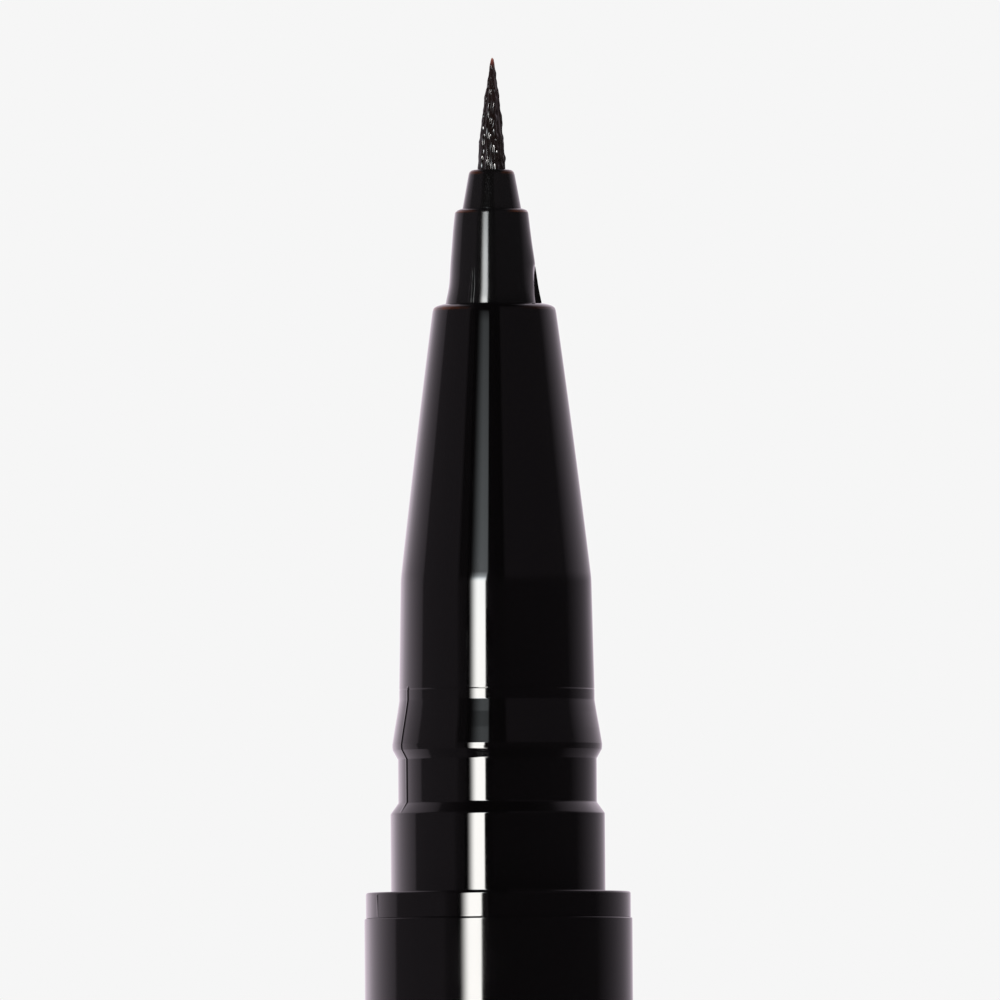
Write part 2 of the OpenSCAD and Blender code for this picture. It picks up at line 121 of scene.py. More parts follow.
# Turns a profile about the pen's axis. Azimuth 0 faces the camera and counts to the right.
# marks are (azimuth, millimetres either side) for extra columns, and shape may move the points of the rings.
def turned(name, corners, finish, lift=0.0, columns=256, marks=(), shape=None):
    profile = softened(corners)
    outerRadius = profile[len(profile) // 3][0]   # any radius on the outside will do
    angles = [fullTurn * i / columns for i in range(columns)]
    for azimuth, sides in marks:
        for side in sides:
            angles.append(math.radians(azimuth) + side / outerRadius)
    angles = np.array(sorted({round(a % fullTurn, 7) for a in angles}))
    r = np.repeat(np.array([p[0] for p in profile])[:, None], len(angles), axis=1)
    z = np.repeat(np.array([p[1] for p in profile])[:, None], len(angles), axis=1)
    if shape:
        r, z = shape(r, z, np.repeat(angles[None, :], len(profile), axis=0))
    n = len(angles)
    verts, rings = [], []
    for i, (radius, height) in enumerate(profile):
        if radius < axisTouch:
            rings.append([len(verts)])
            verts.append((0, 0, (height + lift) * mm))
        else:
            rings.append(list(range(len(verts), len(verts) + n)))
            x, y = r[i] * np.sin(angles) * mm, -r[i] * np.cos(angles) * mm
            verts.extend(zip(x.tolist(), y.tolist(), ((z[i] + lift) * mm).tolist()))
    faces = []
    pairs = list(zip(rings, rings[1:]))
    if len(rings[0]) > 1:
        pairs.append((rings[-1], rings[0]))
    for low, high in pairs:
        for j in range(n):
            k = (j + 1) % n
            if len(low) == 1:
                faces.append((low[0], high[k], high[j]))
            elif len(high) == 1:
                faces.append((low[j], low[k], high[0]))
            else:
                faces.append((low[j], low[k], high[k], high[j]))
    return meshPiece(name, verts, faces, finish)


# A tube along a line of points, with a radius at each point and closed ends
def tubeMesh(verts, faces, points, radii, sides):
    base = len(verts)
    count = len(points)
    for i, point in enumerate(points):
        ahead = points[min(i + 1, count - 1)] - points[max(i - 1, 0)]
        ahead.normalize()
        across = ahead.orthogonal() if i == 0 else across - ahead * across.dot(ahead)
        across.normalize()
        other = ahead.cross(across)
        for k in range(sides):
            a = fullTurn * k / sides
            verts.append(point + radii[i] * (math.cos(a) * across + math.sin(a) * other))
    for i in range(count - 1):
        for k in range(sides):
            a, b = base + i * sides + k, base + i * sides + (k + 1) % sides
            faces.append((a, b, b + sides, a + sides))
    faces.append(tuple(base + k for k in reversed(range(sides))))
    faces.append(tuple(base + (count - 1) * sides + k for k in range(sides)))


def dress(piece, body, slot, *nodes):
    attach(piece, body)
    if nodes:
        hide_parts(*nodes)
    return piece


# Finishes. Grains are noise scales, and larger is finer. A pair is where a range starts and ends
def startFinish(name):
    finish = bpy.data.materials.new(name)
    finish.use_nodes = True
    tree = finish.node_tree
    return finish, tree, tree.nodes["Principled BSDF"]


def objectPlace(tree, stretch=(1, 1, 1)):
    place = tree.nodes.new("ShaderNodeTexCoord")
    mapping = tree.nodes.new("ShaderNodeMapping")
    mapping.inputs["Scale"].default_value = stretch
    tree.links.new(place.outputs["Object"], mapping.inputs["Vector"])
    return mapping.outputs["Vector"]


def axesOf(tree, vector):
    split = tree.nodes.new("ShaderNodeSeparateXYZ")
    tree.links.new(vector, split.inputs[0])
    return split.outputs


def grain(tree, where, scale, detail=2.0):
    texture = tree.nodes.new("ShaderNodeTexNoise")
    texture.inputs["Scale"].default_value = scale
    texture.inputs["Detail"].default_value = detail
    tree.links.new(where, texture.inputs["Vector"])
    return texture.outputs["Fac"]


def spread(tree, value, low, high, fromLow=0.3, fromHigh=0.7):
    mapRange = tree.nodes.new("ShaderNodeMapRange")
    mapRange.inputs["From Min"].default_value = fromLow
    mapRange.inputs["From Max"].default_value = fromHigh
    mapRange.inputs["To Min"].default_value = low
    mapRange.inputs["To Max"].default_value = high
    tree.links.new(value, mapRange.inputs["Value"])
    return mapRange.outputs["Result"]


def rampOf(tree, unit, stops):
    ramp = tree.nodes.new("ShaderNodeValToRGB")
    elements = ramp.color_ramp.elements
    while len(elements) < len(stops):
        elements.new(0.5)
    for element, (at, colour) in zip(elements, stops):
        element.position = at
        element.color = (*colour, 1) if isinstance(colour, tuple) else (colour, colour, colour, 1)
    tree.links.new(unit, ramp.inputs["Fac"])
    return ramp.outputs["Color"]


def curveOf(tree, value, stops, low, high):
    unit = spread(tree, value, 0, 1, low, high)
    return rampOf(tree, unit, [((at - low) / (high - low), colour) for at, colour in stops])


def mixOf(tree, share, plain, other):
    mix = tree.nodes.new("ShaderNodeMix")
    mix.data_type = "RGBA"
    mix.inputs["A"].default_value = (*plain, 1)
    mix.inputs["B"].default_value = (*other, 1)
    tree.links.new(share, mix.inputs["Factor"])
    return mix.outputs["Result"]


def combined(tree, a, b, operation):
    maths = tree.nodes.new("ShaderNodeMath")
    maths.operation = operation
    tree.links.new(a, maths.inputs[0])
    if isinstance(b, (int, float)):
        maths.inputs[1].default_value = b
    else:
        tree.links.new(b, maths.inputs[1])
    return maths.outputs["Value"]


def product(tree, first, *others):
    for other in others:
        first = combined(tree, first, other, "MULTIPLY")
    return first


def cloudyRough(tree, shader, where, clouds, least, most):
    cloudy = spread(tree, grain(tree, where, clouds), least, most)
    tree.links.new(cloudy, shader.inputs["Roughness"])


def relief(tree, shader, height, depth):
    bump = tree.nodes.new("ShaderNodeBump")
    bump.inputs["Strength"].default_value = 1.0
    bump.inputs["Distance"].default_value = depth
    tree.links.new(height, bump.inputs["Height"])
    tree.links.new(bump.outputs["Normal"], shader.inputs["Normal"])


# Painted colour fringe along the rims' bright reflections, taken for dried ink: a brown tint and an orange
# tint on the reflections of edges that look up at the tip, from a height (in metres) upward. A guess: ink dried
# on the edges that look up at the tip, from a height (in metres) upward. sides are its shares on the left and on
# the right
fringe = {
    "lookUp": (0.15, 0.40), "start": 0.0001, "lookAside": (0.35, 0.75), "patches": 2600, "patchDetail": 3,
    "thinnest": 0.35, "brown": (0.085, 0.019, 0.003), "sheen": (1, 0.36, 0.12),
}


def fringeTint(tree, shader, colour, above, sides):
    surface = tree.nodes.new("ShaderNodeNewGeometry")
    facing = axesOf(tree, surface.outputs["Normal"])
    place = axesOf(tree, objectPlace(tree))
    near, far = fringe["lookAside"]
    upward = spread(tree, facing["Z"], 0, 1, *fringe["lookUp"])
    high = spread(tree, place["Z"], 0, 1, above, above + fringe["start"])
    leftPart = spread(tree, facing["X"], sides[0], 0, -far, -near)
    rightPart = spread(tree, facing["X"], 0, sides[1], near, far)
    patches = grain(tree, objectPlace(tree), fringe["patches"], fringe["patchDetail"])
    bothSides = combined(tree, leftPart, rightPart, "ADD")
    # inked is where the painted fringe lies: a brown base colour, and an orange tint on the reflections
    inked = product(tree, upward, high, bothSides, spread(tree, patches, fringe["thinnest"], 1))
    tree.links.new(mixOf(tree, inked, colour, fringe["brown"]), shader.inputs["Base Color"])
    tree.links.new(mixOf(tree, inked, (1, 1, 1), fringe["sheen"]), shader.inputs["Specular Tint"])


plasticIndex = 1.5
plastic = {
    "clouds": 420, "hairlines": 9000, "hairlineDetail": 3, "hairlineStretch": (1, 1, 0.03),
    "hairlineFrom": (0.66, 0.8), "peelDetail": 1.5,
}


def blackPlastic(name, colour, smooth, rough, peelSize, peelDepth, scuffs, fringeAbove=None,
                 fringeSides=(1, 1)):
    finish, tree, shader = startFinish(name)
    shader.inputs["Base Color"].default_value = (*colour, 1)
    shader.inputs["IOR"].default_value = plasticIndex
    where = objectPlace(tree)
    cloudy = spread(tree, grain(tree, where, plastic["clouds"]), smooth, rough)
    # Hairlines, mostly along the pen
    lengthways = objectPlace(tree, plastic["hairlineStretch"])
    hairline = grain(tree, lengthways, plastic["hairlines"], plastic["hairlineDetail"])
    hairline = spread(tree, hairline, 0, scuffs, *plastic["hairlineFrom"])
    tree.links.new(combined(tree, cloudy, hairline, "ADD"), shader.inputs["Roughness"])
    # Painted colour fringe on the rims that look up, taken for dried ink
    if fringeAbove is not None:
        fringeTint(tree, shader, colour, fringeAbove, fringeSides)
    peel = grain(tree, where, 1 / (peelSize * mm), plastic["peelDetail"])
    relief(tree, shader, peel, peelDepth * mm)
    return finish


# Satin black of the nozzle. Its highlight runs along the wall as if the wall leaned only a little, a stand-in
# for turning rings too fine to model. A lean is a height above the barrel in millimetres, and how far the
# normal looks up there
satin = {
    "clouds": 900, "roughShares": (0.92, 1.08), "stretch": 0.85, "stretchTurn": 0.25, "lookUp": (0.3, 0.5),
    "reliefGrain": 7000, "reliefDetail": 2, "reliefDepth": 0.0003,
}


def turnedBlack(name, colour, rough, fringeAbove, fringeSides, leans):
    finish, tree, shader = startFinish(name)
    shader.inputs["IOR"].default_value = plasticIndex
    # Painted colour fringe on the rims that look up, taken for dried ink
    fringeTint(tree, shader, colour, fringeAbove, fringeSides)
    where = objectPlace(tree)
    least, most = (rough * share for share in satin["roughShares"])
    cloudyRough(tree, shader, where, satin["clouds"], least, most)
    shader.inputs["Anisotropic"].default_value = satin["stretch"]
    shader.inputs["Anisotropic Rotation"].default_value = satin["stretchTurn"]
    tangent = tree.nodes.new("ShaderNodeTangent")
    tangent.direction_type = "RADIAL"
    tangent.axis = "Z"
    tree.links.new(tangent.outputs["Tangent"], shader.inputs["Tangent"])
    surface = tree.nodes.new("ShaderNodeNewGeometry")
    facing = axesOf(tree, surface.outputs["Normal"])
    place = axesOf(tree, where)
    stops = [((barrelTop + at) * mm, lean) for at, lean in leans]
    flat = curveOf(tree, place["Z"], stops, stops[0][0], stops[-1][0])
    blend = tree.nodes.new("ShaderNodeMix")   # the faces that look up stay as they are
    tree.links.new(spread(tree, facing["Z"], 0, 1, *satin["lookUp"]), blend.inputs["Factor"])
    tree.links.new(flat, blend.inputs["A"])
    tree.links.new(facing["Z"], blend.inputs["B"])
    upright = tree.nodes.new("ShaderNodeCombineXYZ")
    tree.links.new(facing["X"], upright.inputs["X"])
    tree.links.new(facing["Y"], upright.inputs["Y"])
    tree.links.new(blend.outputs["Result"], upright.inputs["Z"])
    bump = tree.nodes.new("ShaderNodeBump")
    bump.inputs["Distance"].default_value = satin["reliefDepth"] * mm
    tree.links.new(grain(tree, where, satin["reliefGrain"], satin["reliefDetail"]), bump.inputs["Height"])
    tree.links.new(upright.outputs["Vector"], bump.inputs["Normal"])
    tree.links.new(bump.outputs["Normal"], shader.inputs["Normal"])
    return finish


wetInk = {
    "index": 1.6,
    # From the root of the brush to its point, which is reddish
    "colours": [(0, (0.0085, 0.0055, 0.0045)), (0.5, (0.0090, 0.0050, 0.0042)), (0.90, (0.013, 0.006, 0.005)),
                (0.935, (0.05, 0.013, 0.009)), (0.97, (0.17, 0.042, 0.028)), (1, (0.42, 0.20, 0.16))],
    "clouds": 6000, "rough": (0.04, 0.11), "fibres": 11000, "fibreDetail": 1, "fibreStretch": (1, 1, 0.13),
    "fibreDepth": 0.0008, "shine": (0.6, 0.04), "slant": (0.30, 0.65),
}


def wetFibreFinish(name, tip, root):
    finish, tree, shader = startFinish(name)
    shader.inputs["IOR"].default_value = wetInk["index"]
    where = objectPlace(tree)
    along = spread(tree, axesOf(tree, where)["Z"], 0, 1, root * mm, tip * mm)
    tree.links.new(rampOf(tree, along, wetInk["colours"]), shader.inputs["Base Color"])
    cloudyRough(tree, shader, where, wetInk["clouds"], *wetInk["rough"])
    lengthways = objectPlace(tree, wetInk["fibreStretch"])
    fibres = grain(tree, lengthways, wetInk["fibres"], wetInk["fibreDetail"])
    relief(tree, shader, fibres, wetInk["fibreDepth"] * mm)
    # The brush shines less where it is seen at a slant
    slant = tree.nodes.new("ShaderNodeLayerWeight")
    tree.links.new(spread(tree, slant.outputs["Facing"], *wetInk["shine"], *wetInk["slant"]),
              shader.inputs["Specular IOR Level"])
    return finish


resin = {
    "seeThrough": 0.25, "depthShares": (1, 1, 0.9), "depth": 0.0006, "patches": 350, "patchDetail": 4,
    "patchTone": 0.9, "clouds": 900, "roughShares": (0.85, 1.15), "reliefGrain": 5000, "reliefDepth": 0.001,
}


def resinFinish(name, colour, rough, inked=0.0):
    finish, tree, shader = startFinish(name)
    shader.inputs["IOR"].default_value = plasticIndex
    shader.inputs["Subsurface Weight"].default_value = resin["seeThrough"]
    shader.inputs["Subsurface Radius"].default_value = resin["depthShares"]
    shader.inputs["Subsurface Scale"].default_value = resin["depth"]
    where = objectPlace(tree)
    patches = spread(tree, grain(tree, where, resin["patches"], resin["patchDetail"]), 0, 1)
    darker = tuple(c * (resin["patchTone"] - inked) for c in colour)
    tree.links.new(mixOf(tree, patches, colour, darker), shader.inputs["Base Color"])
    least, most = (rough * share for share in resin["roughShares"])
    cloudyRough(tree, shader, where, resin["clouds"], least, most)
    relief(tree, shader, grain(tree, where, resin["reliefGrain"]), resin["reliefDepth"] * mm)
    return finish


fibre = {
    "strands": 16000, "detail": 3, "stretch": (1, 1, 0.04), "rough": 0.7, "depth": 0.02,
    "colours": [(0, (0.035, 0.03, 0.028)), (1, (0.30, 0.28, 0.26))],
}


def fibreFinish(name):
    finish, tree, shader = startFinish(name)
    lengthways = objectPlace(tree, fibre["stretch"])
    strands = grain(tree, lengthways, fibre["strands"], fibre["detail"])
    tree.links.new(rampOf(tree, strands, fibre["colours"]), shader.inputs["Base Color"])
    shader.inputs["Roughness"].default_value = fibre["rough"]
    relief(tree, shader, strands, fibre["depth"] * mm)
    return finish


rubber = {
    "colour": (0.035, 0.035, 0.037), "clouds": 2500, "cloudDetail": 3, "rough": (0.42, 0.6),
    "reliefGrain": 12000, "reliefDetail": 2, "depth": 0.004,
}


def rubberFinish(name):
    finish, tree, shader = startFinish(name)
    shader.inputs["Base Color"].default_value = (*rubber["colour"], 1)
    where = objectPlace(tree)
    clouds = grain(tree, where, rubber["clouds"], rubber["cloudDetail"])
    tree.links.new(spread(tree, clouds, *rubber["rough"]), shader.inputs["Roughness"])
    pores = grain(tree, where, rubber["reliefGrain"], rubber["reliefDetail"])
    relief(tree, shader, pores, rubber["depth"] * mm)
    return finish


steel = {"colour": (0.60, 0.60, 0.61), "marks": 8000, "markDetail": 3, "rough": (0.12, 0.26), "depth": 0.0012}


def steelFinish(name, brushed):
    finish, tree, shader = startFinish(name)
    shader.inputs["Base Color"].default_value = (*steel["colour"], 1)
    shader.inputs["Metallic"].default_value = 1.0
    where = objectPlace(tree, brushed)
    marks = grain(tree, where, steel["marks"], steel["markDetail"])
    tree.links.new(spread(tree, marks, *steel["rough"]), shader.inputs["Roughness"])
    relief(tree, shader, marks, steel["depth"] * mm)
    return finish


deepBlack = (0.0019, 0.0016, 0.0018)
# Where the painted rim fringe starts on each piece
fringeFrom = {"front": 23.75, "nozzle": 27.5, "ferrule": 29.1}   # millimetres above the barrel
glossBlack = blackPlastic("glossBlack", deepBlack, smooth=0.04, rough=0.075, peelSize=0.9, peelDepth=0.0003,
                          scuffs=0.10, fringeAbove=(barrelTop + fringeFrom["front"]) * mm, fringeSides=(1, 0.2))
barrelBlack = blackPlastic("barrelBlack", deepBlack, smooth=0.045, rough=0.085, peelSize=1.3,
                           peelDepth=0.0004, scuffs=0.16)
capBlack = blackPlastic("capBlack", deepBlack, smooth=0.045, rough=0.09, peelSize=1.3, peelDepth=0.0004,
                        scuffs=0.20)
tipBlack = turnedBlack("tipBlack", (0.0036, 0.0033, 0.0036), rough=0.15,
                       fringeAbove=(barrelTop + fringeFrom["nozzle"]) * mm, fringeSides=(1, 0.7),
                       leans=[(24.2, 0.003), (24.4, 0.025), (26.2, 0.028), (27.6, 0.043)])
ferruleBlack = blackPlastic("ferruleBlack", (0.0036, 0.0032, 0.0033), smooth=0.12, rough=0.16, peelSize=0.10,
                            peelDepth=0.0005, scuffs=0.08, fringeAbove=(barrelTop + fringeFrom["ferrule"]) * mm)
linerBlack = blackPlastic("linerBlack", (0.010, 0.010, 0.0105), smooth=0.24, rough=0.34, peelSize=0.3,
                          peelDepth=0.001, scuffs=0.12)
naturalResin = resinFinish("naturalResin", (0.80, 0.81, 0.78), rough=0.36)
tankResin = resinFinish("tankResin", (0.72, 0.74, 0.73), rough=0.22, inked=0.1)
inkedFibre = fibreFinish("inkedFibre")
sealRubber = rubberFinish("sealRubber")
ballSteel = steelFinish("ballSteel", brushed=(1, 1, 1))
springSteel = steelFinish("springSteel", brushed=(1, 1, 0.2))
print("finishes made")

# Front moulding: tapered nose, neck, flared bead, snap groove, straight seat and collar, in one piece
front = {
    "plug": [(3.24, -9.0, 0.05), (4.41, -9.0, 0.04), (4.43, -8.75, 0.05), (4.43, -0.06, 0.02),
             (4.52, 0.0, 0.02)],
    "collar": [(5.19, 0.0, 0.03), (5.19, 1.02, 0.09), (4.20, 1.02, 0.05)],
    "groove": [(4.20, 4.09, 0.10), (3.89, 4.52, 0.09), (3.892, 6.225, 0.03)],
    "bead": [(4.096, 6.590, 0.03), (4.111, 6.69, 0.04), (4.112, 6.81, 0.04), (4.010, 7.43, 1.5),
             (3.900, 8.05, 1.0), (3.8255, 8.53, 0.2)],
    "witness": [(3.8245, 8.93, 0.006), (3.810, 8.955, 0.006), (3.8235, 8.98, 0.006), (3.8230, 9.05, 0),
                (3.8225, 9.08, 0)],
    "neckTop": (3.735, 13.30),
    "neckRounding": 3.2,
    "mouth": (2.435, 23.68),
    "lip": [(2.412, 23.81, 0.1), (2.38, 23.90, 0.1), (2.32, 23.955, 0.1), (2.24, 23.995, 0.15),
            (2.10, 24.04, 0.15), (2.00, 24.06, 0.04)],
    "noseSwell": 0.025,
    "noseSteps": 26,
    "bore": [(1.96, 24.03, 0.04), (1.96, 21.58, 0.03), (2.26, 21.58, 0.03), (2.26, 20.33, 0.03),
             (3.24, 13.2, 0.1)],
    "columns": 288,
    # The raised line where the two halves of the mould meet. Its crest and foot are shares of its flank
    "partingAzimuth": -65.5,
    "partingBands": [(0.06, 0.94), (4.22, 9.04)],
    "partingHeight": 0.034,
    "partingFlank": 0.058,
    "partingCrest": 0.2,
    "partingFoot": 1.2,
    "partingEnd": 0.05,
    "partingBeyond": 3.5,
    "columnGap": 0.005,
}


def noseLine(made):
    (foot, low), (top, high) = made["neckTop"], made["mouth"]
    steps = made["noseSteps"]
    line = []
    for i in range(steps + 1):
        s = i / steps
        swell = 4 * made["noseSwell"] * s * (1 - s)
        rounding = made["neckRounding"] if i == 0 else 0
        line.append((foot + (top - foot) * s + swell, low + (high - low) * s, rounding))
    return line


# The raised line runs up both sides and stops at the shallow ring round the neck
def partingLine(made):
    def shape(r, z, angle):
        for turn in (0, 180):
            offset = angleFrom(angle, math.radians(made["partingAzimuth"] + turn))
            across = np.clip(made["partingFoot"] - np.abs(offset) * r / made["partingFlank"], 0, 1)
            for low, high in made["partingBands"]:
                end = made["partingEnd"]
                along = np.clip((z - low) / end, 0, 1) * np.clip((high - z) / end, 0, 1)
                r = r + made["partingHeight"] * across * along * (r > made["partingBeyond"])
        return r, z
    return shape


partingSides = [side * front["partingFlank"] * share + step for side in (-1, 1)
                for share in (front["partingCrest"], front["partingFoot"])
                for step in (-front["columnGap"], 0, front["columnGap"])]
frontLine = front["plug"] + front["collar"] + front["groove"] + front["bead"] + front["witness"]
frontLine += noseLine(front) + front["lip"] + front["bore"]
frontPiece = turned("frontMoulding", frontLine, glossBlack, barrelTop, front["columns"],
                    [(front["partingAzimuth"], partingSides), (front["partingAzimuth"] + 180, partingSides)],
                    partingLine(front))
dress(frontPiece, "pen", "gloss_black", "front_section")
print("front moulding made")

# The tip sits a hair to the left of the nose's middle, as in the photograph
tipAside = -0.065


def setAside(piece):
    piece.data.transform(Matrix.Translation((tipAside * mm, 0, 0)))
    return piece


# Nozzle with its flared foot and the three fins that centre it in the nose's mouth. A fin lists its height,
# reach and half width, from the foot up
lowFin = [(20.9, 1.90, 0.078), (23.95, 1.90, 0.078), (24.1, 1.945, 0.076), (24.59, 1.845, 0.068),
          (24.90, 1.785, 0.060), (25.22, 1.725, 0.048), (25.36, 1.68, 0.038), (25.50, 1.56, 0.028)]
tallFin = [(20.9, 1.90, 0.078), (23.95, 1.90, 0.078), (24.1, 1.955, 0.076), (24.45, 1.882, 0.072),
           (24.69, 1.840, 0.066), (24.92, 1.805, 0.060), (25.16, 1.773, 0.050), (25.39, 1.740, 0.040),
           (25.55, 1.715, 0.034), (25.70, 1.60, 0.028)]
nozzle = {
    "tail": [(1.32, 14.33, 0.04), (1.80, 14.33, 0.04), (1.80, 20.33, 0.03), (2.24, 20.33, 0.04),
             (2.24, 21.53, 0.04)],
    "foot": [(1.80, 21.53, 0.03), (1.82, 24.05, 0.3)],
    "side": [(1.779, 24.27, 0.6), (1.742, 24.43, 0.6), (1.708, 24.59, 0.6), (1.680, 24.75, 0.6),
             (1.660, 24.92, 0.6), (1.642, 25.14, 1.0), (1.626, 25.42, 1.0), (1.607, 25.72, 1.5),
             (1.556, 26.31, 2), (1.505, 26.94, 2), (1.470, 27.27, 1.5)],
    "top": [(1.427, 27.64, 0.12), (1.37, 27.735, 0.08), (1.25, 27.785, 0.1), (1.17, 27.80, 0.02),
            (1.17, 25.65, 0.02), (1.32, 25.65, 0.02)],
    "columns": 240,
    "ringStep": 0.12,
    "outsideFrom": 1.4,
    "fins": [(-27.6, lowFin), (101, tallFin), (217, lowFin)],
    "finFoot": 20.9,
    "finFlank": 0.024,
    "finColumnGap": 0.012,
    "finColumnsAside": 12,
    # The wall stands a little out, and further down a little in, in front of the right-hand fin
    "rightAzimuth": 90,
    "rightReach": 38,
    "rightShift": [(24.05, -0.10), (24.22, -0.095), (24.45, -0.050), (24.69, 0.0), (24.92, 0.015),
                   (25.30, 0.030), (25.50, 0.056), (25.63, 0.068), (25.94, 0.052), (26.40, 0.024),
                   (27.0, 0.0)],
    "leftAzimuth": -90,
    "leftReach": 75,
    "leftShift": 0.026,
    # A narrow flat beside that fin, as azimuth, half width in degrees, lowest and highest level
    "flat": (84.2, 9.5, 24.12, 25.55),
}


def finShape(made):
    shiftLevels, shifts = zip(*made["rightShift"])
    flatAzimuth, flatHalf, flatLow, flatHigh = made["flat"]

    # One in the middle of a place round the wall, and nothing at its reach on either side, in degrees
    def nearness(aside, reach):
        return np.cos(np.clip(aside / reach, -1, 1) * math.pi / 2) ** 2

    def shape(r, z, angle):
        outer = (z > shiftLevels[0]) & (r > made["outsideFrom"])
        right, left, level = (np.degrees(angleFrom(angle, math.radians(azimuth)))
                              for azimuth in (made["rightAzimuth"], made["leftAzimuth"], flatAzimuth))
        shift = np.interp(z, shiftLevels, shifts) * nearness(right, made["rightReach"])
        shift += made["leftShift"] * nearness(left, made["leftReach"])
        r = np.where(outer, r + shift, r)
        onFlat = outer & (np.abs(level) < flatHalf) & (z > flatLow) & (z < flatHigh)
        r = np.where(onFlat, r * math.cos(math.radians(flatHalf)) / np.cos(np.radians(level)), r)
        for azimuth, line in made["fins"]:
            levels, reach, halves = zip(*line)
            half = np.interp(z, levels, halves)
            offset = np.abs(angleFrom(angle, math.radians(azimuth))) * r
            across = np.clip((half + made["finFlank"] / 2 - offset) / made["finFlank"], 0, 1)
            across = across * across * (3 - 2 * across)
            fin = np.interp(z, levels, reach)
            outside = (z > made["finFoot"]) & (z < levels[-1]) & (r > made["outsideFrom"])
            r = np.where(outside, np.maximum(r, r + (fin - r) * across), r)
        return r, z
    return shape


finSides = [nozzle["finColumnGap"] * step
            for step in range(-nozzle["finColumnsAside"], nozzle["finColumnsAside"] + 1)]
nozzleLine = nozzle["tail"] + closer(nozzle["foot"] + nozzle["side"], nozzle["ringStep"]) + nozzle["top"]
nozzlePiece = turned("nozzleTip", nozzleLine, tipBlack, barrelTop, nozzle["columns"],
                     [(azimuth, finSides) for azimuth, _ in nozzle["fins"]], finShape(nozzle))
dress(setAside(nozzlePiece), "pen", "satin_black", "nozzle")

# Ferrule that grips the brush
ferrule = {
    "foot": [(0.80, 24.70, 0.03), (1.30, 24.70, 0.03), (1.30, 25.60, 0.03), (1.15, 25.60, 0.02)],
    "cone": [(1.151, 27.80, 0.2), (0.905, 29.14, 0.3)],
    "lip": [(0.875, 29.23, 0.06), (0.81, 29.30, 0.06), (0.70, 29.33, 0.06), (0.60, 29.33, 0.03),
            (0.60, 26.65, 0.02), (0.80, 26.65, 0.02)],
    "columns": 192,
}
ferruleLine = ferrule["foot"] + ferrule["cone"] + ferrule["lip"]
ferrulePiece = turned("ferruleCone", ferruleLine, ferruleBlack, barrelTop, ferrule["columns"])
dress(setAside(ferrulePiece), "pen", "satin_black", "brush_ferrule")
print("nozzle and ferrule made")

# Brush: single bristles drawn together by the wet ink, with the film of ink that lies over and between them.
# Heights are above the ferrule's lip, but for the lip and the root, which are above the barrel
brush = {
    "lip": 29.33,
    "root": 26.9,
    "rootBelowLip": 0.3,
    "rootRadius": 0.58,
    "length": 4.405,
    "outline": [(0.0, 0.551), (0.44, 0.529), (0.83, 0.503), (1.08, 0.486), (1.17, 0.464), (1.62, 0.420),
                (2.20, 0.355), (2.79, 0.300), (3.14, 0.256), (3.22, 0.230), (3.45, 0.180), (3.57, 0.156),
                (3.77, 0.140), (3.96, 0.106), (4.155, 0.080), (4.34, 0.044), (4.405, 0.018)],
    "bodyShare": 0.963,
    "lean": 0.055,
    "leanFrom": 1.2,
    "leanOver": 3.1,
    "ridges": 24,
    "ridgeUneven": (-0.25, 0.25),
    "ridgeHeight": 0.042,
    "ridgeWidth": (0.27, 0.36),
    "ridgeWidening": 0.30,
    "ridgeFade": 0.3,
    "longRidge": 4.7,
    "shortRidge": (1.4, 3.3),
    "sway": (0.03, 0.10),
    "swayPitch": (2.0, 4.5),
    "beads": 3,
    "beadLength": (0.30, 0.90),
    "beadSlope": 0.16,
    "beadStart": 0.4,
    "sunkShare": 0.68,
    "sunkTo": 4.0,
    "sunkFade": 0.8,
    "fullWidth": 0.40,
    "leastShare": 0.06,
    "widthPower": 0.7,
    "filmColumns": 260,
    "filmRings": 380,
    "filmFoot": -0.15,
    "filmShort": 0.03,
    "seed": 5,
}
bristle = {
    "count": 380, "radius": 0.020, "foot": -0.35, "rings": 24, "sides": 6, "uneven": (-0.05, 0.05),
    "shorter": 0.80, "shorterPower": 3.4, "endUneven": (-0.12, 0.0), "shortest": 0.5,
    "sway": (0.02, 0.10), "swayPitch": 2.2, "lift": (0.0, 0.008), "liftPower": 4, "proud": 0.3,
    "thinning": 0.72, "thinningPower": 2.2, "beside": (-0.035, 0.035), "lowest": -0.1, "innermost": 0.001,
}
wetFibre = wetFibreFinish("wetFibre", barrelTop + brush["lip"] + brush["length"], barrelTop + brush["lip"])
draw = random.Random(brush["seed"])
outlineLevels, outlineWidths = zip(*brush["outline"])
ridges = []
for i in range(brush["ridges"]):
    lengths = [draw.uniform(*brush["beadLength"]) for _ in range(brush["beads"])]
    ridges.append({
        "azimuth": fullTurn * (i + draw.uniform(*brush["ridgeUneven"])) / brush["ridges"],
        "width": fullTurn / brush["ridges"] * draw.uniform(*brush["ridgeWidth"]),
        "sway": draw.uniform(*brush["sway"]),
        "swayPitch": draw.uniform(*brush["swayPitch"]),
        "phase": draw.uniform(0, fullTurn),
        "beads": [(length * brush["beadSlope"] / fullTurn, fullTurn / length, draw.uniform(0, fullTurn))
                  for length in lengths],
        # Two of every five reach the point
        "end": brush["longRidge"] if i % 5 in (0, 2) else draw.uniform(*brush["shortRidge"]),
    })


